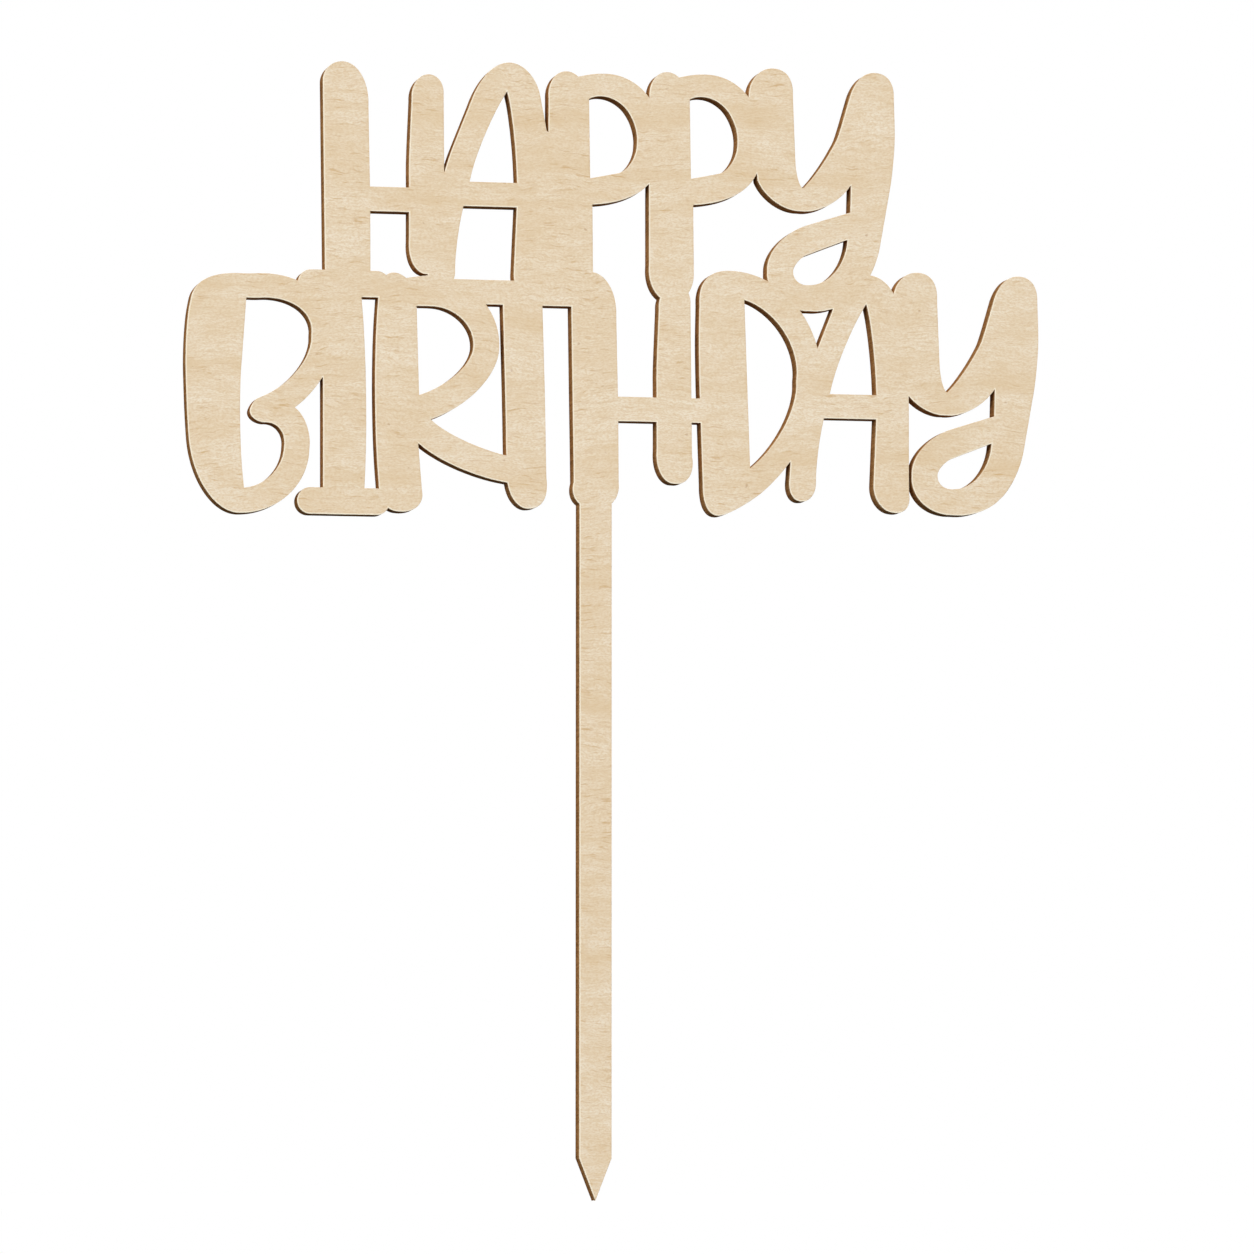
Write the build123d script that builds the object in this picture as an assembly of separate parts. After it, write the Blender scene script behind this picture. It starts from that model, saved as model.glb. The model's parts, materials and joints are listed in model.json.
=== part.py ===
from build123d import *

import os

# Flat cake topper cut from three-ply plywood: two rows of joined, round-ended capitals on a pointed stake.
# It stands in the XZ plane with its front towards -Y. The origin is the stake's tip, half way through
# the sheet.

# Sheet, in millimetres: two face veneers and a core veneer, with a film of glue on each side of the core
face_veneer = 0.85
core_veneer = 1.3
glue_film = 0.1

# Lettering
letter_height = 38.9
row_lap = 4.82  # how far the upper row reaches down into the lower row
upper_row_reach = 44.71  # from the stake's axis to the left end of the upper row
bar_height = 4.0  # crossbars of A, H and T
serif_height = 4.3  # round-ended serifs of I
a_width = 19.7
b_width = 24.8
d_width = 20.5
h_width = 19.9
i_width = 15.0
p_width = 18.6
r_width = 21.3
t_width = 24.6
y_width = 24.2

# Stake, which carries the left stem of the lower row's H
stake_width = 5.3
stake_length = 111.2  # from the tip to the lower row's base line
point_length = 6.8
stake_root_share = 0.2  # how far the stake runs up into the stem, as a share of the letter height
stem_axis_share = 0.201  # the axis of H's left stem, as a share of the letter's width

# Each row from its left: the letter, the share of its width that laps the letter before it, and the share of
# the letter height that it hangs below its row's base line
upper_row_shares = [
    ("H", 0, 0.024),
    ("A", 0.123, 0.006),
    ("P", 0.019, -0.002),
    ("P", 0.103, -0.012),
    ("Y", 0.078, 0.003),
]
lower_row_shares = [
    ("B", 0, 0.034),
    ("I", 0.437, 0.026),
    ("R", 0.116, 0.016),
    ("T", 0.434, 0.006),
    ("H", 0.153, -0.002),
    ("D", -0.056, -0.004),
    ("A", 0.263, -0.019),
    ("Y", 0.102, -0.028),
]

# A letter's outline is a closed line through shares of its width and of the letter height. A point marked
# BEND is a corner that the line curves round, a near-ellipse where the corner is square, and one marked FULL
# is a corner that it curves round more closely. Each mark is the curve's share of the way to its corner.
round_share = 0.5523
full_share = 0.64
BEND, FULL = round_share, full_share

a_legs_shares = [
    (-0.015, 0.125), (0.005, 0.27), (0.065, 0.46, BEND), (0.18, 0.615), (0.325, 0.8), (0.45, 0.983, FULL),
    (0.655, 0.987), (0.875, 0.991, BEND), (0.92, 0.845), (0.972, 0.705), (1, 0.695), (1, 0.46),
    (1, 0.075), (1.04, -0.025, BEND), (0.865, -0.01), (0.7, -0.005, BEND), (0.697, 0.1), (0.726, 0.43),
    (0.724, 0.71, BEND), (0.64, 0.865), (0.405, 0.675, BEND), (0.33, 0.485), (0.279, 0.38),
    (0.205, 0.23, BEND), (0.21, 0.1), (0.2, 0.03, BEND), (0.098, 0.03), (-0.045, 0.02, BEND),
]
a_bar_shares = (0.25, 0.75, 0.432)

b_body_shares = [
    (0.038, 0.87), (0.066, 0.992, FULL), (0.39, 0.98), (0.5, 0.983), (1, 0.99, BEND), (1, 0.74),
    (1, 0.565, BEND), (0.72, 0.43), (0.84, 0.375, BEND), (0.815, 0.26), (0.81, -0.01, BEND),
    (0.36, -0.01), (0.078, -0.01, BEND), (0.03, 0.29), (0.015, 0.395, BEND), (0.01, 0.52),
    (-0.01, 0.75, BEND),
]
b_counter_shares = [
    (0.4, 0.88), (0.475, 0.88), (0.855, 0.905, BEND), (0.825, 0.735), (0.845, 0.555, BEND), (0.475, 0.465),
    (0.435, 0.45, BEND), (0.425, 0.415), (0.42, 0.37, BEND), (0.52, 0.365), (0.665, 0.375, BEND),
    (0.65, 0.275), (0.65, 0.11, BEND), (0.39, 0.095), (0.335, 0.375, BEND), (0.375, 0.645),
]

d_body_shares = [
    (0.005, 0.86), (-0.012, 1.008, FULL), (0.25, 1.006), (1.03, 1.005, BEND), (1, 0.53),
    (0.99, 0.285, BEND), (0.49, 0.07), (0.265, -0.02, BEND), (0.16, -0.022), (0.028, -0.024, FULL),
    (0.031, 0.11), (0.005, 0.52), (0, 0.71),
]
d_counter_shares = [(0.37, 0.885), (0.85, 0.805, BEND), (0.79, 0.55), (0.815, 0.345, BEND), (0.415, 0.18)]

h_left_stem_shares = [
    (0.02, 0.11), (0.01, 0.46), (-0.003, 0.905), (-0.008, 0.985, BEND), (0.15, 0.988), (0.385, 0.993, BEND),
    (0.372, 0.805), (0.388, 0.42), (0.392, 0.11), (0.418, -0.005, BEND), (0.208, 0), (-0.047, -0.01, BEND),
]
h_right_stem_shares = [
    (0.706, 0.25), (0.706, 0.59), (0.725, 0.84), (0.713, 0.945, BEND), (0.868, 0.945),
    (1.003, 0.945, BEND), (0.989, 0.86), (1.001, 0.23), (1.05, 0.1, BEND), (0.858, 0.11),
    (0.685, 0.105, BEND),
]
h_bar_shares = (0.24, 1.09, 0.418)

i_stem_shares = [(0.25, 0.94), (0.275, 0.52), (0.28, 0.04), (0.72, 0.04), (0.805, 0.52, BEND), (0.675, 0.94)]
i_serif_middle_shares = [0.941, 0.039]

p_stem_shares = [
    (0, 0.395), (0.005, 0.835), (-0.015, 0.955, BEND), (0.17, 0.95), (0.33, 0.95, BEND), (0.37, 0.835),
    (0.395, 0.395), (0.4, 0.115), (0.415, -0.015, BEND), (0.215, -0.015), (-0.03, -0.025, BEND), (0, 0.14),
]
p_bowl_shares = [
    (0.175, 0.395), (0.175, 0.915), (0.33, 0.945, BEND), (0.49, 0.945), (1.01, 0.955, BEND), (1, 0.695),
    (1.1, 0.41, FULL), (0.37, 0.393),
]
p_counter_shares = [
    (0.365, 0.836), (0.495, 0.877, BEND), (0.645, 0.82), (0.81, 0.765, BEND), (0.79, 0.655),
    (0.79, 0.56, BEND), (0.635, 0.53), (0.375, 0.504),
]

r_stem_shares = [
    (0.03, 0.905), (0.03, 0.982, BEND), (0.145, 0.982), (0.275, 0.982, BEND), (0.31, 0.895), (0.34, 0.46),
    (0.335, 0.27), (0.364, 0.08), (0.404, -0.021, BEND), (0.185, -0.01), (0.035, -0.01, BEND), (0.035, 0.085),
    (-0.04, 0.52, BEND),
]
r_bowl_shares = [
    (0.19, 0.955), (0.255, 0.965, BEND), (0.425, 0.975), (0.955, 0.975, BEND), (0.955, 0.69),
    (0.97, 0.48, BEND), (0.43, 0.375), (0.19, 0.355),
]
r_leg_shares = [
    (0.27, 0.425), (0.43, 0.375), (0.65, 0.26, BEND), (1.115, 0.22), (1.115, 0.113), (0.645, 0.127, BEND),
    (0.335, 0.275), (0.23, 0.335),
]
r_counter_shares = [
    (0.32, 0.845), (0.44, 0.845), (0.755, 0.84, BEND), (0.755, 0.69), (0.765, 0.555, BEND), (0.34, 0.475),
]

t_stem_shares = [
    (0.415, 0.915), (0.435, 0.46), (0.445, 0.145), (0.445, 0.003, BEND), (0.585, 0.002), (0.738, 0.001, FULL),
    (0.71, 0.135), (0.7, 0.46), (0.68, 0.915),
]
t_bar_shares = (0, 1, 0.9)

y_body_shares = [
    (0.02, 0.75), (-0.005, 0.875), (-0.005, 0.995, BEND), (0.16, 0.995), (0.312, 0.995, FULL), (0.301, 0.875),
    (0.315, 0.635), (0.317, 0.5, BEND), (0.37, 0.493), (0.515, 0.58, BEND), (0.61, 0.713), (0.685, 0.865),
    (0.735, 0.99, FULL), (0.865, 0.99), (1.01, 0.99, FULL), (1, 0.875), (1.005, 0.77), (1.015, 0.625, BEND),
    (0.96, 0.46), (0.905, 0.27), (0.87, 0.115, BEND), (0.73, 0.045), (0.615, -0.035, BEND), (0.42, -0.025),
    (0.1, -0.035, BEND), (0.12, 0.14), (0.107, 0.288, BEND), (0.42, 0.342), (0.695, 0.396), (0.7, 0.51),
    (0.56, 0.38, BEND), (0.355, 0.395), (0.145, 0.39, BEND), (0.055, 0.52),
]
y_loop_shares = [
    (0.675, 0.28), (0.39, 0.21), (0.31, 0.185, BEND), (0.3, 0.145), (0.29, 0.08, BEND), (0.405, 0.085),
    (0.655, 0.085, BEND),
]


def outline(shares, width):
    """Face inside a closed line of points and bends, in a letter's own box."""
    points = [Vector(share[0] * width, share[1] * letter_height) for share in shares]
    bends = [share[2] if len(share) > 2 else None for share in shares]
    edges = []
    for i in range(len(points)):
        after = (i + 1) % len(points)
        if bends[i]:
            continue
        if not bends[after]:
            edges.append(Line(points[i], points[after]))
            continue
        start, corner, end = points[i], points[after], points[(i + 2) % len(points)]
        leaving = start + (corner - start) * bends[after]
        arriving = end + (corner - end) * bends[after]
        edges.append(Bezier(start, leaving, arriving, end))
    return make_face(edges)


def bar(bar_shares, width):
    """Square-ended crossbar from a left share to a right share of a letter's width, about a middle height."""
    left_share, right_share, middle_share = bar_shares
    length = (right_share - left_share) * width
    centre = (left_share + right_share) / 2 * width
    return Pos(centre, middle_share * letter_height) * Rectangle(length, bar_height)


def letter_a():
    """Two legs that meet in a round top, and a crossbar."""
    return outline(a_legs_shares, a_width) + bar(a_bar_shares, a_width)


def letter_b():
    """Heavy spine and two bowls, with one counter that runs past the curl between the bowls."""
    return outline(b_body_shares, b_width) - outline(b_counter_shares, b_width)


def letter_d():
    """Heavy stem and one bowl that comes to a low corner."""
    return outline(d_body_shares, d_width) - outline(d_counter_shares, d_width)


def letter_h():
    """Tall left stem, short right stem and a crossbar that runs on into the next letter."""
    stems = outline(h_left_stem_shares, h_width) + outline(h_right_stem_shares, h_width)
    return stems + bar(h_bar_shares, h_width)


def letter_i():
    """Stem between two round-ended serifs."""
    letter = outline(i_stem_shares, i_width)
    for middle_share in i_serif_middle_shares:
        letter += Pos(i_width / 2, middle_share * letter_height) * SlotOverall(i_width, serif_height)
    return letter


def letter_p():
    """Stem with a round bowl on its upper half."""
    strokes = outline(p_stem_shares, p_width) + outline(p_bowl_shares, p_width)
    return strokes - outline(p_counter_shares, p_width)


def letter_r():
    """Stem, bowl and a leg that reaches the next letter."""
    strokes = [outline(shares, r_width) for shares in (r_stem_shares, r_bowl_shares, r_leg_shares)]
    return Sketch() + strokes - outline(r_counter_shares, r_width)


def letter_t():
    """Long top bar on a round-footed stem."""
    return outline(t_stem_shares, t_width) + bar(t_bar_shares, t_width)


def letter_y():
    """Cup with a tall right arm whose tail curls back in a loop."""
    return outline(y_body_shares, y_width) - outline(y_loop_shares, y_width)


letters = {
    "A": (letter_a, a_width),
    "B": (letter_b, b_width),
    "D": (letter_d, d_width),
    "H": (letter_h, h_width),
    "I": (letter_i, i_width),
    "P": (letter_p, p_width),
    "R": (letter_r, r_width),
    "T": (letter_t, t_width),
    "Y": (letter_y, y_width),
}


def letter_starts(row_shares):
    """Left end of each letter's box, counted from the left end of its row."""
    starts = []
    end = 0
    for name, lap_share, _ in row_shares:
        width = letters[name][1]
        starts.append(end - lap_share * width)
        end = starts[-1] + width
    return starts


def set_row(row_shares, left, base):
    """Letters of one row, set from its left end on its base line."""
    faces = []
    for (name, _, hang_share), start in zip(row_shares, letter_starts(row_shares)):
        draw = letters[name][0]
        faces.append(Pos(left + start, base - hang_share * letter_height) * draw())
    return faces


def stake():
    """Parallel stake with a straight-sided point, from its tip up into the stem that it carries."""
    half = stake_width / 2
    root = stake_length + stake_root_share * letter_height
    right_side = [(0, 0), (half, point_length), (half, root)]
    left_side = [(-half, root), (-half, point_length)]
    return make_face(Polyline(*right_side, *left_side, close=True))


def plate():
    """Outline of the whole topper as one face: both rows of letters and the stake."""
    names = [name for name, _, _ in lower_row_shares]
    stem_axis = letter_starts(lower_row_shares)[names.index("H")] + stem_axis_share * h_width
    upper_base = stake_length + letter_height - row_lap
    faces = set_row(lower_row_shares, -stem_axis, stake_length)
    faces += set_row(upper_row_shares, -upper_row_reach, upper_base)
    return Sketch() + faces + stake()


layers = [
    ("back_veneer", face_veneer),
    ("back_glue_line", glue_film),
    ("core_veneer", core_veneer),
    ("front_glue_line", glue_film),
    ("front_veneer", face_veneer),
]


def main():
    """Cut every layer of the sheet to the same outline, from the back face forwards, and write each one."""
    os.makedirs("parts", exist_ok=True)
    cut = plate()
    depth = -sum(thickness for _, thickness in layers) / 2
    for node, thickness in layers:
        solid = extrude(Plane.XZ.offset(depth) * cut, thickness)
        solid.label = node
        export_step(solid, f"parts/{node}.step")
        depth += thickness


main()
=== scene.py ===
"""Cake topper cut by laser from a three-ply birch sheet: a greeting in two rows above one stake.

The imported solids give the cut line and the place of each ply. Every ply and glue film is shown by a piece
of its own, which Geometry Nodes sweep round that line: sanded birch on the faces, scorched wood on the cut.
"""

import json
import logging
import math
from dataclasses import dataclass
from enum import Enum

import bmesh
import bpy
import numpy as np
from mathutils import Matrix, Vector

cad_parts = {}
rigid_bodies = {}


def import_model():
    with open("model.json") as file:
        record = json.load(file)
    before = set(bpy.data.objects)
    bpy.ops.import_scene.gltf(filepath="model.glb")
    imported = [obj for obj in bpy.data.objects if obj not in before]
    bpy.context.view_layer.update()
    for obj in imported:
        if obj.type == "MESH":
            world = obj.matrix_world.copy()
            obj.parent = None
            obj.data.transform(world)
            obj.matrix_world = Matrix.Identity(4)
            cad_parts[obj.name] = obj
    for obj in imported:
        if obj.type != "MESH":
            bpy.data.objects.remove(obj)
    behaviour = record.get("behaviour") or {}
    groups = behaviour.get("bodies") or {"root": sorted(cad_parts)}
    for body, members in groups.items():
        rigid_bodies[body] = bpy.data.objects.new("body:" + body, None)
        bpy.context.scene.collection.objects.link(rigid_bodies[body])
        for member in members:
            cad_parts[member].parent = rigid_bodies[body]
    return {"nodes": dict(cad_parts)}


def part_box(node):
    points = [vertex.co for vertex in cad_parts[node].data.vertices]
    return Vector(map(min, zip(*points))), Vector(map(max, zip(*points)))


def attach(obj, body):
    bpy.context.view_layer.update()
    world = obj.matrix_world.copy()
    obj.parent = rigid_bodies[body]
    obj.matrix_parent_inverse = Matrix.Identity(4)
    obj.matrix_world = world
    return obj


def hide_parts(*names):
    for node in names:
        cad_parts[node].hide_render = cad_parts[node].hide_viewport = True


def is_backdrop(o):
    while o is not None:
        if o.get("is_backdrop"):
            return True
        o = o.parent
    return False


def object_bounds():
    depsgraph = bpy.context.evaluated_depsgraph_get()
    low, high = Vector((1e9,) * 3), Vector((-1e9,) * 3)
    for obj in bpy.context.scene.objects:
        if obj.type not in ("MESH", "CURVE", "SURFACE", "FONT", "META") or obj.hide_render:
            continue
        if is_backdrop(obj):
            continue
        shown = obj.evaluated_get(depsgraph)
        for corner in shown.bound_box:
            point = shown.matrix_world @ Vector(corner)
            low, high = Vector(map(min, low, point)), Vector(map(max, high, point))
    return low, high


LOG = logging.getLogger("cake_topper")
MM = 0.001
BODY = "root"

Colour = tuple[float, float, float, float]
Triple = tuple[float, float, float]
WHITE: Colour = (1.0, 1.0, 1.0, 1.0)


def srgb(red: int, green: int, blue: int) -> Colour:
    """Turn a display colour into a scene-linear one.

    Args:
        red: red in 0 to 255.
        green: green in 0 to 255.
        blue: blue in 0 to 255.

    Returns:
        The linear colour, opaque.
    """
    shares = (value / 255 for value in (red, green, blue))
    linear = (s / 12.92 if s <= 0.04045 else ((s + 0.055) / 1.055) ** 2.4 for s in shares)
    return (*linear, 1.0)


class Wire:
    """Output socket of a node, on which arithmetic adds Math nodes to the same tree."""

    def __init__(self, graph: "Graph", socket: bpy.types.NodeSocket) -> None:
        """Keep the socket and the graph that it is in."""
        self.graph = graph
        self.socket = socket

    def math(self, operation: str, *terms: "Wire | float") -> "Wire":
        """Add one Math node.

        Args:
            operation: what the node works out.
            terms: its operands, in order.

        Returns:
            The result.
        """
        return self.graph.wire("ShaderNodeMath", {"operation": operation}, dict(enumerate(terms)))

    def __add__(self, other: "Wire | float") -> "Wire":
        """Sum."""
        return self.math("ADD", self, other)

    __radd__ = __add__

    def __sub__(self, other: "Wire | float") -> "Wire":
        """Difference."""
        return self.math("SUBTRACT", self, other)

    def __rsub__(self, other: float) -> "Wire":
        """Difference, with the number first."""
        return self.math("SUBTRACT", other, self)

    def __mul__(self, other: "Wire | float") -> "Wire":
        """Product."""
        return self.math("MULTIPLY", self, other)

    __rmul__ = __mul__

    def __truediv__(self, other: "Wire | float") -> "Wire":
        """Quotient."""
        return self.math("DIVIDE", self, other)

    def __rtruediv__(self, other: float) -> "Wire":
        """Quotient, with the number first."""
        return self.math("DIVIDE", other, self)

    def __gt__(self, other: "Wire | float") -> "Wire":
        """One where this is the greater, else nought."""
        return self.math("GREATER_THAN", self, other)

    def least(self, other: "Wire | float") -> "Wire":
        """Lesser of two values."""
        return self.math("MINIMUM", self, other)

    def rise(self, low: float, high: float) -> "Wire":
        """Go smoothly from nought to one.

        Args:
            low: value at and under which the result is nought.
            high: value at and over which it is one.

        Returns:
            The share.
        """
        sockets = {"Value": self, "From Min": low, "From Max": high}
        return self.graph.wire("ShaderNodeMapRange", {"interpolation_type": "SMOOTHSTEP"}, sockets)


class Graph:
    """Node tree that is filled from Python."""

    def __init__(self, tree: bpy.types.NodeTree) -> None:
        """Keep the tree."""
        self.tree = tree

    def node(self, kind: str, settings: dict | None = None, sockets: dict | None = None) -> bpy.types.Node:
        """Add a node.

        Args:
            kind: the node's type.
            settings: its properties, which are set first.
            sockets: a number, a data block or a wire for each input, by name or by place.

        Returns:
            The node.
        """
        made = self.tree.nodes.new(kind)
        for name, value in (settings or {}).items():
            setattr(made, name, value)
        for key, value in (sockets or {}).items():
            if isinstance(value, Wire):
                self.tree.links.new(value.socket, made.inputs[key])
            else:
                made.inputs[key].default_value = value
        return made

    def wire(
        self, kind: str, settings: dict | None = None, sockets: dict | None = None, output: int | str = 0
    ) -> Wire:
        """Add a node and take one of its outputs.

        Args:
            kind: the node's type.
            settings: its properties.
            sockets: its inputs.
            output: name or place of the output.

        Returns:
            The output.
        """
        return Wire(self, self.node(kind, settings, sockets).outputs[output])

    def vector(self, operation: str, *terms: Wire | Triple) -> Wire:
        """Add one Vector Math node.

        Args:
            operation: what the node works out.
            terms: its vectors, in order.

        Returns:
            The resulting vector.
        """
        return self.wire("ShaderNodeVectorMath", {"operation": operation}, dict(enumerate(terms)))

    def times(self, vector: Wire, scale: Wire | float) -> Wire:
        """Vector times a number."""
        return self.wire("ShaderNodeVectorMath", {"operation": "SCALE"}, {0: vector, "Scale": scale})

    def mix(self, share: Wire | float, first: Wire | Colour, second: Wire | Colour) -> Wire:
        """Blend two colours.

        Args:
            share: how much of the second colour there is.
            first: colour at nought.
            second: colour at one.

        Returns:
            The blend.
        """
        sockets = {0: share, 6: first, 7: second}
        return self.wire("ShaderNodeMix", {"data_type": "RGBA"}, sockets, output=2)


class Surface(Graph):
    """Node tree of a new material, which ends in one Principled BSDF."""

    def __init__(self, name: str) -> None:
        """Make the material."""
        self.material = bpy.data.materials.new(name)
        self.material.use_nodes = True
        super().__init__(self.material.node_tree)
        self.tree.nodes.clear()

    def place(self, shift: Triple = (0.0, 0.0, 0.0)) -> Wire:
        """Give the place on the piece.

        Args:
            shift: move of the pattern, in millimetres.

        Returns:
            Object coordinates in millimetres.
        """
        metres = self.wire("ShaderNodeTexCoord", output="Object")
        settings = {"vector_type": "POINT"}
        sockets = {"Vector": metres, "Location": shift, "Scale": (1 / MM,) * 3}
        return self.wire("ShaderNodeMapping", settings, sockets)

    def noise(self, place: Wire, stretch: Triple, detail: float = 2.0, roughness: float = 0.5) -> Wire:
        """Add a noise pattern.

        Args:
            place: where it is read, in millimetres.
            stretch: its lumps in each millimetre across, through and up the sheet.
            detail: octaves of finer lumps.
            roughness: strength of those.

        Returns:
            The noise, about a half on average.
        """
        sockets = {"Scale": 1.0, "Detail": detail, "Roughness": roughness}
        sockets["Vector"] = self.vector("MULTIPLY", place, stretch)
        return self.wire("ShaderNodeTexNoise", None, sockets)

    def attribute(self, name: str) -> Wire:
        """Number stored on the piece's points."""
        return self.wire("ShaderNodeAttribute", {"attribute_name": name}, output="Fac")

    def bump(self, height: Wire, depth: float) -> Wire:
        """Add a bump.

        Args:
            height: relief from nought to one.
            depth: its full depth, in metres.

        Returns:
            The bent normal.
        """
        return self.wire("ShaderNodeBump", None, {"Height": height, "Distance": depth})

    def close(self, **sockets: Wire | float | Colour) -> bpy.types.Material:
        """Finish the tree.

        Args:
            sockets: inputs of the Principled BSDF, with _ for a space in a name.

        Returns:
            The material.
        """
        named = {key.replace("_", " "): value for key, value in sockets.items()}
        skin = self.wire("ShaderNodeBsdfPrincipled", None, named)
        self.node("ShaderNodeOutputMaterial", None, {"Surface": skin})
        return self.material


class Grain(Enum):
    """Way that a ply's fibres run, as the fineness of its pattern across, through and up the sheet."""

    LEVEL = (0.3, 1.0, 2.4)
    UPRIGHT = (2.4, 1.0, 0.3)


@dataclass(frozen=True)
class BirchFace:
    """Sanded birch veneer with level grain, painted highlight on some cut edges, scorch and painted shade
    on others.

    Attributes:
        name: the material's name.
        shift: where the veneer was peeled, as a move of the pattern in millimetres.
        pale, ground, warm, pore, speck: the wood's colours, from light to dark.
        painted_highlight: painted highlight, a pale line along the arris of the edges that face down and
            left.
        scorch_and_shade: scorch stain beside the cut, with painted shade, on the edges that face up and
            right.
        highlight_strength: strength of that painted highlight.
        scorch_and_shade_strength: strength of that scorch stain and painted shade.
        fibres, grits, bands, flecks, dots: how strongly each part of the figure shows.
        gloss: strength of its mirror-like reflection.
        relief: depth of the grain that is left after sanding.
    """

    name: str
    shift: Triple
    pale: Colour = srgb(240, 228, 208)
    ground: Colour = srgb(232, 214, 187)
    warm: Colour = srgb(220, 193, 152)
    pore: Colour = srgb(204, 167, 116)
    speck: Colour = srgb(178, 130, 78)
    painted_highlight: Colour = srgb(247, 236, 212)
    scorch_and_shade: Colour = srgb(212, 177, 128)
    highlight_strength: float = 1.0
    scorch_and_shade_strength: float = 0.22
    fibres: float = 0.45
    grits: float = 0.70
    bands: float = 0.45
    flecks: float = 0.30
    dots: float = 0.4
    gloss: float = 0.25
    relief: float = 0.02 * MM

    def material(self) -> bpy.types.Material:
        """Make the finish."""
        wood = Surface(self.name)
        flat = wood.place(self.shift)
        sway = wood.noise(flat, (0.035, 0.0, 0.06), 1.0) - 0.5
        curl = wood.noise(flat, (0.30, 0.0, 0.45), 1.0) - 0.5
        lift = wood.wire("ShaderNodeCombineXYZ", None, {"Z": sway * 5.0 + curl * 1.2})
        place = wood.vector("ADD", flat, lift)

        mottle = wood.noise(place, (0.10, 1.0, 0.22), 3.0, 0.6)
        band = wood.noise(place, (0.010, 1.0, 0.26), 3.0, 0.55).rise(0.52, 0.72)
        fibre = wood.noise(place, (0.30, 1.0, 3.6), 2.0, 0.6)
        grit = wood.noise(place, (2.2, 2.0, 5.0), 2.0, 0.65)
        dash = wood.noise(place, (0.32, 3.0, 3.4), 2.0, 0.6).rise(0.56, 0.72)
        thick = wood.noise(place, (0.07, 4.0, 0.13), 2.0).rise(0.38, 0.62)
        fleck = wood.noise(place, (0.70, 5.0, 3.3), 1.0).rise(0.60, 0.76)
        dot = wood.noise(place, (0.9, 6.0, 1.6), 0.0).rise(0.86, 0.92)

        colour = wood.mix(mottle.rise(0.30, 0.70), self.pale, self.ground)
        colour = wood.mix(fibre.rise(0.35, 0.70) * self.fibres, colour, self.warm)
        colour = wood.mix(grit.rise(0.38, 0.68) * self.grits, colour, self.warm)
        colour = wood.mix(band * self.bands, colour, self.warm)
        colour = wood.mix(dash * (0.24 + 0.48 * thick), colour, self.pore)
        colour = wood.mix(fleck * self.flecks, colour, self.pale)
        colour = wood.mix(dot * self.dots, colour, self.speck)

        gap = wood.attribute("gap") / MM
        # How much each edge faces up and right: it places the painted shade and the painted highlight.
        drift = wood.attribute("drift")
        # Scorch stain with painted shade, near the edges that face up and right.
        smoke_and_shade = drift.rise(0.0, 0.9) * (1 - gap.rise(0.05, 0.40))
        colour = wood.mix(smoke_and_shade * self.scorch_and_shade_strength, colour, self.scorch_and_shade)
        # Painted highlight: a pale line along the arris of the edges that face down and left.
        highlight_mask = (1 - drift.rise(-0.6, 0.0)) * (1 - gap.rise(0.14, 0.28))
        colour = wood.mix(highlight_mask * self.highlight_strength, colour, self.painted_highlight)

        height = 0.6 * fibre + 0.4 * grit - 0.35 * dash
        roughness = 0.60 + 0.16 * fibre - 0.05 * dash
        return wood.close(
            Base_Color=colour,
            Roughness=roughness,
            Specular_IOR_Level=self.gloss,
            Normal=wood.bump(height, self.relief),
        )


@dataclass(frozen=True)
class LaserCut:
    """Wood scorched by the laser, streaked through the sheet by the beam.

    Attributes:
        name: the material's name.
        light, dark: wood scorched least and most.
        grain: way that the ply's fibres run.
        gloss: strength of its mirror-like reflection.
        relief: depth of the streaks.
    """

    name: str
    light: Colour
    dark: Colour
    grain: Grain
    gloss: float = 0.0
    relief: float = 0.05 * MM

    def material(self) -> bpy.types.Material:
        """Make the finish."""
        char = Surface(self.name)
        place = char.place()
        streak = char.noise(place, (2.6, 0.25, 2.6), 2.0, 0.6)
        patch = char.noise(place, (0.20, 0.35, 0.20), 2.0)
        fibre = char.noise(place, self.grain.value, 2.0, 0.6)
        burn = streak * 0.5 + patch * 0.3 + fibre * 0.2
        colour = char.mix(burn.rise(0.32, 0.66), self.dark, self.light)
        return char.close(
            Base_Color=colour,
            Roughness=0.72 + 0.25 * burn,
            Specular_IOR_Level=self.gloss,
            Normal=char.bump(burn, self.relief),
        )


@dataclass(frozen=True)
class GlueFilm:
    """Resin film that the laser has charred, dark and a little glossy.

    Attributes:
        name: the material's name.
        light, dark: resin charred least and most.
        gloss: strength of its mirror-like reflection.
        relief: depth of its beads.
    """

    name: str
    light: Colour = srgb(78, 50, 29)
    dark: Colour = srgb(40, 24, 13)
    gloss: float = 0.02
    relief: float = 0.03 * MM

    def material(self) -> bpy.types.Material:
        """Make the finish."""
        film = Surface(self.name)
        bead = film.noise(film.place(), (1.4, 0.5, 1.4), 2.0, 0.6)
        colour = film.mix(bead.rise(0.35, 0.65), self.dark, self.light)
        return film.close(
            Base_Color=colour,
            Roughness=0.45 + 0.3 * bead,
            Specular_IOR_Level=self.gloss,
            Normal=film.bump(bead, self.relief),
        )


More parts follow.
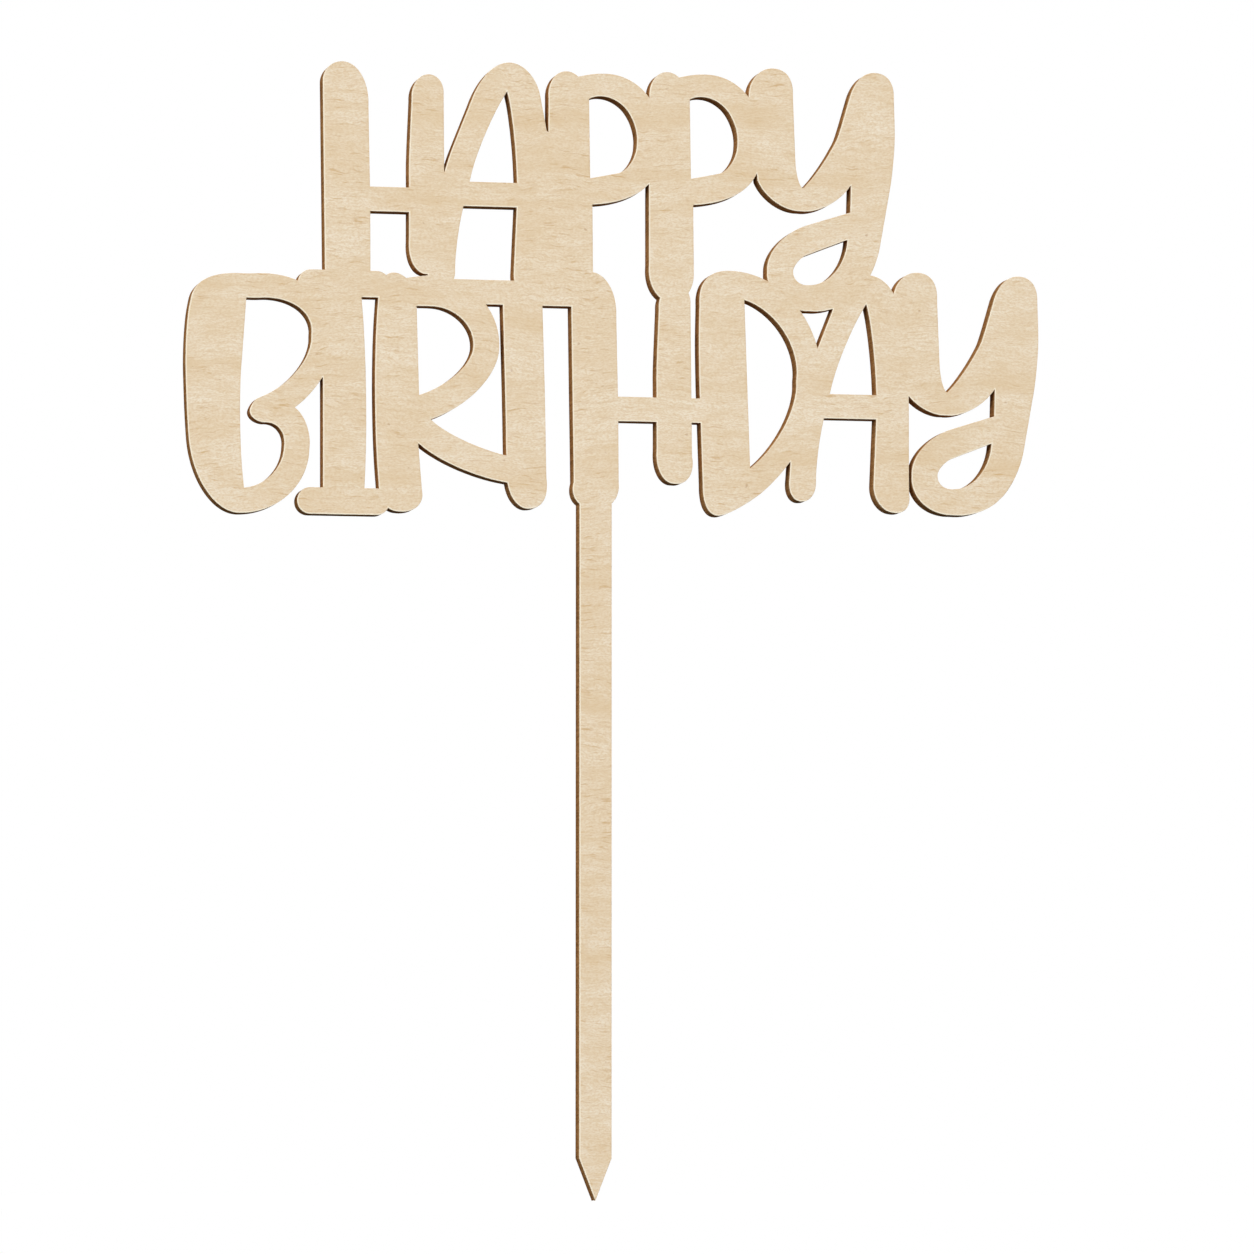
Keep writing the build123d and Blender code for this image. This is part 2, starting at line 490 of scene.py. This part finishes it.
@dataclass(frozen=True)
class CutLine:
    """Line that the laser followed, smooth between its corners.

    It lies in the plane of the sheet, with X across and Y up, and has the wood on its left.

    Attributes:
        spacing: distance between its points.
        corner: turn past which a point of the solid is a true corner.
        smoke_and_shade: way faced by the edges with scorch and painted shade; edges facing away get a
            painted highlight.
        spare: share of a narrow place that the two sides' face bands may take together.
        longest_mitre: most by which a corner's inset is lengthened.
        seam: distance under which points of the solid's mesh are one.
        facing: share of a face's direction that makes it part of the front.
        least_reach: distance into the wood under which a point is not opposite another.
    """

    spacing: float = 0.4 * MM
    corner: float = math.radians(20)
    # Up and right: edges facing it get scorch and painted shade, edges facing away a painted highlight.
    smoke_and_shade: tuple[float, float] = (0.72, 0.69)
    spare: float = 0.8
    longest_mitre: float = 1.5
    seam: float = 0.0005 * MM
    facing: float = 0.9
    least_reach: float = 1e-9

    def rim_loops(self, solid: bpy.types.Object) -> list[np.ndarray]:
        """Read the rim of a solid's front face.

        Args:
            solid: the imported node.

        Returns:
            The points of each closed loop.
        """
        rim = bmesh.new()
        rim.from_mesh(solid.data)
        bmesh.ops.remove_doubles(rim, verts=rim.verts, dist=self.seam)
        front = [face for face in rim.faces if face.normal.y < -self.facing]
        whole = set(front)
        follow = {
            corner.vert: corner.link_loop_next.vert
            for face in front
            for corner in face.loops
            if not whole.issuperset(corner.edge.link_faces)
        }
        loops = []
        while follow:
            start = next(iter(follow))
            loop, point = [], start
            while point in follow:
                loop.append((point.co.x, point.co.z))
                point = follow.pop(point)
            loops.append(np.array(loop))
        rim.free()
        return loops

    def smooth(self, loop: np.ndarray) -> np.ndarray:
        """Draw a curve through a loop's points that keeps its corners and its straights.

        Args:
            loop: points of the solid's rim.

        Returns:
            Points of the curve, about evenly spaced.
        """
        chord = np.roll(loop, -1, axis=0) - loop
        length = np.linalg.norm(chord, axis=1)[:, None]
        before = np.roll(chord, 1, axis=0)
        heading, came = chord / length, before / np.roll(length, 1, axis=0)
        tangent = chord + before
        tangent /= np.linalg.norm(tangent, axis=1)[:, None]
        sharp = (heading * came).sum(axis=1)[:, None] < math.cos(self.corner)
        leave = np.where(sharp, heading, tangent) * length
        arrive = np.roll(np.where(sharp, came, tangent), -1, axis=0) * length
        points = []
        for index, start in enumerate(loop):
            end = loop[(index + 1) % len(loop)]
            steps = max(1, round(float(length[index, 0]) / self.spacing))
            t = (np.arange(steps) / steps)[:, None]
            points.append(
                (2 * t**3 - 3 * t**2 + 1) * start
                + (t**3 - 2 * t**2 + t) * leave[index]
                + (3 * t**2 - 2 * t**3) * end
                + (t**3 - t**2) * arrive[index]
            )
        return np.concatenate(points)

    def inward(self, loop: np.ndarray) -> tuple[np.ndarray, np.ndarray]:
        """Find the way into the wood at each point.

        Args:
            loop: points of the smooth line.

        Returns:
            The unit directions, and how much further a corner's inset goes.
        """
        ahead = np.roll(loop, -1, axis=0) - loop
        ahead /= np.linalg.norm(ahead, axis=1)[:, None]
        mean = ahead + np.roll(ahead, 1, axis=0)
        size = np.linalg.norm(mean, axis=1)
        along = mean / size[:, None]
        mitre = np.minimum(2 / size, self.longest_mitre)
        return np.stack((-along[:, 1], along[:, 0]), axis=1), mitre

    def room(self, points: np.ndarray, inward: np.ndarray) -> np.ndarray:
        """Find how far each point may move into the wood before it meets another side.

        Args:
            points: points of the whole line.
            inward: directions into the wood.

        Returns:
            The distances, from the largest circle that touches the line at the point alone.
        """
        rooms = []
        for point, way in zip(points, inward):
            away = points - point
            reach = np.maximum(away @ way, self.least_reach)
            beside = reach <= self.least_reach
            rooms.append(((away**2).sum(axis=1) / (2 * reach) + beside).min())
        return self.spare * np.array(rooms)

    def mesh(self, solid: bpy.types.Object) -> bpy.types.Mesh:
        """Make the line.

        Args:
            solid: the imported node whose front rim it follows.

        Returns:
            A mesh of edges, with the attributes that the sweep reads.
        """
        loops = [self.smooth(loop) for loop in self.rim_loops(solid)]
        low, high = (np.array((corner.x, corner.z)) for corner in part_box(solid.name))
        loops = [np.clip(loop, low, high) for loop in loops]
        ways, mitres = zip(*(self.inward(loop) for loop in loops))
        way = np.concatenate(ways)
        points = np.concatenate(loops)
        flat = np.zeros((len(points), 1))
        values = {
            "inward": np.hstack((way * np.concatenate(mitres)[:, None], flat)),
            "room": self.room(points, way),
            # How much each edge faces that way: it places the painted shade and the painted highlight.
            "drift": -way @ np.array(self.smoke_and_shade),
        }
        edges, first = [], 0
        for loop in loops:
            edges += [(first + i, first + (i + 1) % len(loop)) for i in range(len(loop))]
            first += len(loop)
        LOG.info("cut line: %d loops, %d points", len(loops), len(points))
        return line_mesh("cut_line", np.hstack((points, flat)), edges, values)


def line_mesh(
    name: str, points: np.ndarray, edges: list[tuple[int, int]], values: dict[str, np.ndarray]
) -> bpy.types.Mesh:
    """Make a mesh of edges alone.

    Args:
        name: the mesh's name.
        points: its points.
        edges: pairs of their numbers.
        values: numbers or vectors at the points, by the name of their attribute.

    Returns:
        The mesh.
    """
    mesh = bpy.data.meshes.new(name)
    mesh.from_pydata(points.tolist(), edges, [])
    for label, data in values.items():
        kind, key = ("FLOAT_VECTOR", "vector") if data.ndim > 1 else ("FLOAT", "value")
        layer = mesh.attributes.new(label, kind, "POINT")
        layer.data.foreach_set(key, data.astype(np.float32).ravel())
    return mesh


class Shown(Enum):
    """Face of a ply that is sanded and shows."""

    FRONT = 1
    BACK = -1
    NONE = 0


@dataclass(frozen=True)
class Section:
    """Cross-section of a ply's edge, from its front face round the cut to its back face.

    Attributes:
        front: height of the front face over the middle of the sheet.
        back: height of the back face.
        recess: how far the cut lies inside the cut line.
        shown: the face that has an arris and a band of points beside it.
        burnt_arris: whether the beam scorched that arris too.
        arris: radius of that arris.
        band: width of that band.
        guard: width of the flat that keeps the arris's shading off the band.
        arris_steps: facets of the arris.
    """

    front: float
    back: float
    recess: float
    shown: Shown
    burnt_arris: bool = False
    arris: float = 0.07 * MM
    band: float = 1.2 * MM
    guard: float = 0.05 * MM
    arris_steps: int = 3

    def rows(self) -> list[Triple]:
        """List the section's points.

        Returns:
            For each, how far in it lies, its height, and one where it is scorched.
        """
        if self.shown is Shown.NONE:
            heights = (self.front, (self.front + self.back) / 2, self.back)
            return [(self.recess, height, 1.0) for height in heights]
        if self.shown is Shown.FRONT:
            return self._faced(self.front, self.back)
        mirrored = self._faced(-self.back, -self.front)[::-1]
        return [(inset, -height, burnt) for inset, height, burnt in mirrored]

    def _faced(self, face: float, inner: float) -> list[Triple]:
        """List the points of a ply whose front face shows.

        Args:
            face: height of that face.
            inner: height of the other one.

        Returns:
            The rows.
        """
        insets = (self.band, self.band / 2, self.arris + self.guard)
        rows = [(self.recess + inset, face, 0.0) for inset in insets]
        for step in range(self.arris_steps + 1):
            turn = math.pi / 2 * step / self.arris_steps
            inset, drop = self.arris * (1 - math.sin(turn)), self.arris * (1 - math.cos(turn))
            burnt = self.burnt_arris or step == self.arris_steps
            rows.append((self.recess + inset, face - drop, float(burnt)))
        middle = (face - self.arris + inner) / 2
        return rows + [(self.recess, middle, 1.0), (self.recess, inner, 1.0)]

    def mesh(self) -> bpy.types.Mesh:
        """Make the section as a line with its rows as attributes."""
        inset, height, scorch = np.array(self.rows()).T
        points = np.stack((inset, np.zeros_like(inset), height), axis=1)
        edges = [(i, i + 1) for i in range(len(points) - 1)]
        return line_mesh("section", points, edges, {"inset": inset, "height": height, "scorch": scorch})


class PlySweep:
    """Geometry Nodes tree that sweeps a section round the cut line and closes it with two faces."""

    INPUTS = {
        "Geometry": "NodeSocketGeometry",
        "Section": "NodeSocketObject",
        "Ripple depth": "NodeSocketFloat",
        "Ripple length": "NodeSocketFloat",
        "Ripple seed": "NodeSocketFloat",
        "Weld distance": "NodeSocketFloat",
        "Crease angle": "NodeSocketFloat",
        "Face finish": "NodeSocketMaterial",
        "Cut finish": "NodeSocketMaterial",
    }
    SPENT = ("spot", "inward", "room", "inset", "height", "scorch")
    BURNT = 0.8

    def __init__(self) -> None:
        """Build the tree."""
        self.tree = bpy.data.node_groups.new("ply_sweep", "GeometryNodeTree")
        for label, kind in self.INPUTS.items():
            self.tree.interface.new_socket(label, in_out="INPUT", socket_type=kind)
        self.tree.interface.new_socket("Geometry", in_out="OUTPUT", socket_type="NodeSocketGeometry")
        self.graph = Graph(self.tree)
        given = self.graph.node("NodeGroupInput")
        self.given = {label: Wire(self.graph, given.outputs[label]) for label in self.INPUTS}
        self._lay_out()

    def _read(self, name: str, kind: str = "FLOAT") -> Wire:
        """Attribute of the points that a node works on."""
        return self.graph.wire("GeometryNodeInputNamedAttribute", {"data_type": kind}, {"Name": name})

    def _store(self, geometry: Wire, name: str, value: Wire, kind: str = "FLOAT") -> Wire:
        """Keep a value on every point.

        Args:
            geometry: the points' geometry.
            name: the attribute's name.
            value: what is kept.
            kind: its type.

        Returns:
            The geometry with the attribute.
        """
        settings = {"data_type": kind, "domain": "POINT"}
        sockets = {"Geometry": geometry, "Name": name, "Value": value}
        return self.graph.wire("GeometryNodeStoreNamedAttribute", settings, sockets)

    def _push(self, geometry: Wire, inset: Wire, height: Wire, scorch: Wire) -> Wire:
        """Move points from the cut line into the wood and to their height.

        Args:
            geometry: what is moved.
            inset: how far in.
            height: how far over the middle of the sheet.
            scorch: one where the beam left its ripple.

        Returns:
            The moved geometry, with its distance from the cut line as the attribute gap.
        """
        graph = self.graph
        spot = self._read("spot", "FLOAT_VECTOR")
        lumps = graph.times(spot, 1 / self.given["Ripple length"])
        sockets = {"Vector": lumps, "W": self.given["Ripple seed"], "Scale": 1.0, "Detail": 1.0}
        ripple = graph.wire("ShaderNodeTexNoise", {"noise_dimensions": "4D"}, sockets)
        gap = (inset + ripple * self.given["Ripple depth"] * scorch).least(self._read("room"))
        moved = graph.vector("ADD", spot, graph.times(self._read("inward", "FLOAT_VECTOR"), gap))
        raised = graph.vector("ADD", moved, graph.wire("ShaderNodeCombineXYZ", None, {"Z": height}))
        kept = self._store(geometry, "gap", gap)
        return graph.wire("GeometryNodeSetPosition", None, {"Geometry": kept, "Position": raised})

    def _face(self, path: Wire, section: Wire, end: Wire | int) -> Wire:
        """Close one face of the ply.

        Args:
            path: the cut line.
            section: the section's mesh.
            end: number of the section's point where the face begins.

        Returns:
            The face.
        """
        graph = self.graph
        level = {}
        for name in ("inset", "height", "scorch"):
            sockets = {"Geometry": section, "Value": self._read(name), "Index": end}
            level[name] = graph.wire("GeometryNodeSampleIndex", None, sockets)
        edge = self._push(path, **level)
        face = graph.wire("GeometryNodeFillCurve", {"mode": "TRIANGLES"}, {"Curve": edge})
        lift = graph.wire("ShaderNodeCombineXYZ", None, {"Z": level["height"]})
        face = graph.wire("GeometryNodeSetPosition", None, {"Geometry": face, "Offset": lift})
        return self._store(self._store(face, "gap", level["inset"]), "scorch", level["scorch"])

    def _lay_out(self) -> None:
        """Add the nodes from the cut line to the finished ply."""
        graph, given = self.graph, self.given
        path = graph.wire("GeometryNodeMeshToCurve", None, {"Mesh": given["Geometry"]})
        path = self._store(path, "spot", graph.wire("GeometryNodeInputPosition"), "FLOAT_VECTOR")
        section = graph.wire("GeometryNodeObjectInfo", None, {"Object": given["Section"]}, "Geometry")
        profile = graph.wire("GeometryNodeMeshToCurve", None, {"Mesh": section})
        sweep = graph.wire("GeometryNodeCurveToMesh", None, {"Curve": path, "Profile Curve": profile})
        edge = self._push(sweep, self._read("inset"), self._read("height"), self._read("scorch"))
        last = graph.wire("GeometryNodeAttributeDomainSize", None, {"Geometry": section}) - 1
        join = graph.node("GeometryNodeJoinGeometry")
        for part in (self._face(path, section, last), self._face(path, section, 0), edge):
            graph.tree.links.new(part.socket, join.inputs[0])
        sockets = {"Geometry": Wire(graph, join.outputs[0]), "Distance": given["Weld distance"]}
        ply = graph.wire("GeometryNodeMergeByDistance", None, sockets)
        stand = {"Geometry": ply, "Rotation": (math.pi / 2, 0.0, 0.0)}
        ply = graph.wire("GeometryNodeTransform", None, stand)
        ply = graph.wire("GeometryNodeSetShadeSmooth", {"domain": "FACE"}, {"Geometry": ply})
        crease = graph.wire("GeometryNodeInputMeshEdgeAngle") > given["Crease angle"]
        sockets = {"Geometry": ply, "Selection": crease, "Shade Smooth": False}
        ply = graph.wire("GeometryNodeSetShadeSmooth", {"domain": "EDGE"}, sockets)
        ply = graph.wire("GeometryNodeRealizeInstances", None, {"Geometry": ply})
        sockets = {"Geometry": ply, "Material": given["Face finish"]}
        ply = graph.wire("GeometryNodeSetMaterial", None, sockets)
        burnt = self._read("scorch") > self.BURNT
        sockets = {"Geometry": ply, "Selection": burnt, "Material": given["Cut finish"]}
        ply = graph.wire("GeometryNodeSetMaterial", None, sockets)
        graph.node("NodeGroupOutput", None, {"Geometry": ply})

    def apply(
        self, name: str, line: bpy.types.Mesh, section: Section, **inputs: object
    ) -> bpy.types.Object:
        """Make one ply.

        Args:
            name: the piece's name.
            line: the cut line.
            section: the ply's section.
            inputs: the tree's other inputs, with _ for a space in a name.

        Returns:
            The piece, as a plain mesh.
        """
        scene = bpy.context.scene.collection.objects
        helper = bpy.data.objects.new("section", section.mesh())
        piece = bpy.data.objects.new(name, line.copy())
        scene.link(helper)
        scene.link(piece)
        modifier = piece.modifiers.new(self.tree.name, "NODES")
        modifier.node_group = self.tree
        values = {key.replace("_", " "): value for key, value in inputs.items()} | {"Section": helper}
        for item in self.tree.interface.items_tree:
            if item.in_out == "INPUT" and item.name in values:
                modifier[item.identifier] = values[item.name]
        graph = bpy.context.evaluated_depsgraph_get()
        made = bpy.data.meshes.new_from_object(piece.evaluated_get(graph))
        piece.modifiers.remove(modifier)
        piece.data = made
        made.name = name
        made.materials.pop(index=0)
        bpy.data.objects.remove(helper)
        for label in self.SPENT:
            if label in made.attributes:
                made.attributes.remove(made.attributes[label])
        self._turn_outwards(made)
        return piece

    def _turn_outwards(self, mesh: bpy.types.Mesh) -> None:
        """Point every face of a closed mesh outwards."""
        shell = bmesh.new()
        shell.from_mesh(mesh)
        bmesh.ops.recalc_face_normals(shell, faces=shell.faces)
        open_edges = sum(not edge.is_manifold for edge in shell.edges)
        shell.to_mesh(mesh)
        shell.free()
        if open_edges:
            LOG.warning("%s: %d edges are open", mesh.name, open_edges)


@dataclass(frozen=True)
class Ply:
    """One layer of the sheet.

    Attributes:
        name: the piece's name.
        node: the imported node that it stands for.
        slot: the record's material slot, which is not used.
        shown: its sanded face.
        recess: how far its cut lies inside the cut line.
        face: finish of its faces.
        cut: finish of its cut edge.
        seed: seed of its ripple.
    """

    name: str
    node: str
    slot: str
    shown: Shown
    recess: float
    face: BirchFace | LaserCut | GlueFilm
    cut: LaserCut | GlueFilm
    seed: float


@dataclass(frozen=True)
class Plywood:
    """The topper: three plies and two glue films, cut along one line.

    Attributes:
        ripple_depth: depth of the ripple that the beam left on the cut.
        ripple_length: distance between its lumps.
        core_recess: how far the core is burnt back behind the faces.
        glue_recess: how far the glue is burnt back.
        weld: distance under which points become one.
        crease: angle past which an edge is shaded sharp.
    """

    ripple_depth: float = 0.02 * MM
    ripple_length: float = 1.3 * MM
    core_recess: float = 0.03 * MM
    glue_recess: float = 0.05 * MM
    weld: float = 0.001 * MM
    crease: float = math.radians(38)

    def plies(self) -> list[Ply]:
        """List the layers from the front to the back."""
        entry = LaserCut("cut_front_ply", srgb(205, 160, 108), srgb(160, 117, 73), Grain.LEVEL)
        core = LaserCut("cut_core_ply", srgb(182, 132, 82), srgb(132, 90, 50), Grain.UPRIGHT)
        rear = LaserCut("cut_back_ply", srgb(170, 122, 76), srgb(118, 79, 43), Grain.LEVEL)
        film = GlueFilm("charred_glue")
        front = BirchFace("birch_front", (0.0, 11.0, 0.0))
        # The back face has no painted highlight, and a stronger scorch stain and painted shade.
        back = BirchFace("birch_back", (140.0, -37.0, 60.0), highlight_strength=0.0, scorch_and_shade_strength=0.5)
        core_at, glue_at = self.core_recess, self.glue_recess
        return [
            Ply("face_ply_front", "front_veneer", "face_veneer", Shown.FRONT, 0.0, front, entry, 1.0),
            Ply("glue_film_front", "front_glue_line", "glue_line", Shown.NONE, glue_at, film, film, 2.0),
            Ply("core_ply", "core_veneer", "core_veneer", Shown.NONE, core_at, core, core, 3.0),
            Ply("glue_film_back", "back_glue_line", "glue_line", Shown.NONE, glue_at, film, film, 4.0),
            Ply("face_ply_back", "back_veneer", "face_veneer", Shown.BACK, 0.0, back, rear, 5.0),
        ]

    def build(self, nodes: dict[str, bpy.types.Object]) -> list[bpy.types.Object]:
        """Make every layer and put it in its node's place.

        Args:
            nodes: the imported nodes.

        Returns:
            The pieces.
        """
        plies = self.plies()
        sweep = PlySweep()
        line = CutLine().mesh(nodes[plies[0].node])
        kinds = dict.fromkeys(finish for ply in plies for finish in (ply.face, ply.cut))
        finishes = {finish: finish.material() for finish in kinds}
        pieces = []
        for ply in plies:
            low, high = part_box(ply.node)
            piece = sweep.apply(
                ply.name,
                line,
                Section(-low.y, -high.y, ply.recess, ply.shown, ply.shown is Shown.BACK),
                Ripple_depth=self.ripple_depth,
                Ripple_length=self.ripple_length,
                Ripple_seed=ply.seed,
                Weld_distance=self.weld,
                Crease_angle=self.crease,
                Face_finish=finishes[ply.face],
                Cut_finish=finishes[ply.cut],
            )
            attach(piece, BODY)
            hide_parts(ply.node)
            LOG.info("%s stands for %s: %d faces", ply.name, ply.node, len(piece.data.polygons))
            pieces.append(piece)
        bpy.data.meshes.remove(line)
        return pieces


@dataclass(frozen=True)
class PhotoCamera:
    """Camera at the photograph's viewing angle, for a square frame.

    Attributes:
        azimuth, elevation: where it stands, seen from the target, with nought in front.
        distance: how far it stands from the target.
        target: the point in the middle of the frame.
        lens: focal length in millimetres, for the sensor's width.
        sensor: the sensor's width in millimetres.
        nearest, farthest: distances between which things are seen.
    """

    azimuth: float = math.radians(-11.7)
    elevation: float = math.radians(-4.45)
    distance: float = 1150 * MM
    target: Triple = (5.49 * MM, 0.0, 92.34 * MM)
    lens: float = 204.50
    sensor: float = 36.0
    nearest: float = 0.05
    farthest: float = 50.0

    def place(self) -> None:
        """Make the camera and give it to the scene."""
        level = math.cos(self.elevation)
        back = Vector(
            (math.sin(self.azimuth) * level, -math.cos(self.azimuth) * level, math.sin(self.elevation))
        )
        right = Vector((math.cos(self.azimuth), math.sin(self.azimuth), 0.0))
        columns = (right, back.cross(right), back)
        data = bpy.data.cameras.new("photo_camera")
        data.lens = self.lens
        data.sensor_width = self.sensor
        data.clip_start, data.clip_end = self.nearest, self.farthest
        camera = bpy.data.objects.new("photo_camera", data)
        turn = Matrix(columns).transposed().to_4x4()
        camera.matrix_world = Matrix.Translation(Vector(self.target) + self.distance * back) @ turn
        bpy.context.scene.collection.objects.link(camera)
        bpy.context.scene.camera = camera


@dataclass(frozen=True)
class SoftBox:
    """Square lamp that faces the middle of the topper.

    Attributes:
        name: its name.
        place: where it hangs, in metres.
        width: its side.
        power: its power in watts.
    """

    name: str
    place: Triple
    width: float
    power: float

    def hang(self, target: Vector) -> None:
        """Make the lamp.

        Args:
            target: what it faces.
        """
        data = bpy.data.lights.new(self.name, "AREA")
        data.size = self.width
        data.energy = self.power
        lamp = bpy.data.objects.new(self.name, data)
        lamp.location = self.place
        lamp.rotation_euler = (target - Vector(self.place)).to_track_quat("-Z", "Y").to_euler()
        bpy.context.scene.collection.objects.link(lamp)


@dataclass(frozen=True)
class Studio:
    """White floor and background with soft light.

    Attributes:
        floor_half: half the floor's side.
        above, below: light of the room from the ceiling and from the floor.
        shadow_near, shadow_far: distances from the foot between which the floor's shade fades to white.
        floor_white: share of plain white on the floor near the foot.
        paper: the floor's colour.
        dim, bright: upward parts of a direction between which the room's light goes from below to above.
    """

    floor_half: float = 4.0
    above: float = 0.66
    below: float = 0.11
    shadow_near: float = 0.10
    shadow_far: float = 0.42
    floor_white: float = 0.55
    paper: Colour = srgb(250, 250, 250)
    dim: float = -0.35
    bright: float = 0.45

    def lamps(self) -> list[SoftBox]:
        """List the lamps."""
        return [
            SoftBox("key_box", (-1.30, -2.30, 1.00), 1.5, 43.5),
            SoftBox("fill_box", (1.50, -2.20, 0.40), 1.3, 19.5),
            SoftBox("back_box", (0.45, 1.35, 0.85), 0.9, 20.0),
        ]

    def set_up(self, target: Vector) -> None:
        """Make the floor, the background and the lamps.

        Args:
            target: what the lamps face.
        """
        self._floor()
        self._room()
        for lamp in self.lamps():
            lamp.hang(target)
        bpy.context.scene.view_settings.view_transform = "Standard"

    def _seen(self, graph: Graph) -> Wire:
        """One for the rays that see the background itself."""
        rays = graph.node("ShaderNodeLightPath")
        camera, glossy, through = (
            Wire(graph, rays.outputs[name])
            for name in ("Is Camera Ray", "Is Glossy Ray", "Is Transmission Ray")
        )
        return (camera + glossy + through).least(1.0)

    def _floor(self) -> None:
        """Make the floor, with the topper's shade on it near the foot."""
        side = self.floor_half
        mesh = bpy.data.meshes.new("floor")
        corners = [(-side, -side, 0), (side, -side, 0), (side, side, 0), (-side, side, 0)]
        mesh.from_pydata(corners, [], [range(len(corners))])
        floor = bpy.data.objects.new("floor", mesh)
        floor.visible_diffuse = False
        bpy.context.scene.collection.objects.link(floor)
        paper = Surface("white_floor")
        place = paper.wire("ShaderNodeTexCoord", output="Object")
        reach = paper.wire("ShaderNodeVectorMath", {"operation": "LENGTH"}, {0: place}, "Value")
        fade = reach.rise(self.shadow_near, self.shadow_far)
        white = self.floor_white + (1 - self.floor_white) * fade
        matt = paper.wire("ShaderNodeBsdfDiffuse", None, {"Color": self.paper})
        glow = paper.wire("ShaderNodeEmission", None, {"Strength": 1.0})
        sockets = {0: white * self._seen(paper), 1: matt, 2: glow}
        shade = paper.wire("ShaderNodeMixShader", None, sockets)
        paper.node("ShaderNodeOutputMaterial", None, {"Surface": shade})
        mesh.materials.append(paper.material)
        floor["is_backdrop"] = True

    def _room(self) -> None:
        """Make the world: white to the camera, brighter from above than from below to the topper."""
        world = bpy.data.worlds.new("studio")
        world.use_nodes = True
        bpy.context.scene.world = world
        room = Graph(world.node_tree)
        room.tree.nodes.clear()
        way = room.wire("ShaderNodeTexCoord", output="Generated")
        height = room.wire("ShaderNodeSeparateXYZ", None, {0: way}, "Z")
        light = self.below + (self.above - self.below) * height.rise(self.dim, self.bright)
        soft = room.wire("ShaderNodeBackground", None, {"Color": WHITE, "Strength": light})
        plain = room.wire("ShaderNodeBackground", None, {"Color": WHITE, "Strength": 1.0})
        sky = room.wire("ShaderNodeMixShader", None, {0: self._seen(room), 1: soft, 2: plain})
        room.node("ShaderNodeOutputWorld", None, {"Surface": sky})


def main() -> None:
    """Load the frame, make the pieces, and set them in the studio."""
    logging.basicConfig(format="%(name)s: %(message)s")
    LOG.setLevel(logging.INFO)
    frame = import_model()
    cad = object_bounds()
    pieces = Plywood().build(frame["nodes"])
    PhotoCamera().place()
    Studio().set_up((Vector(cad[0]) + Vector(cad[1])) / 2)
    LOG.info("%d pieces on %s", len(pieces), BODY)


if __name__ == "__main__":
    main()
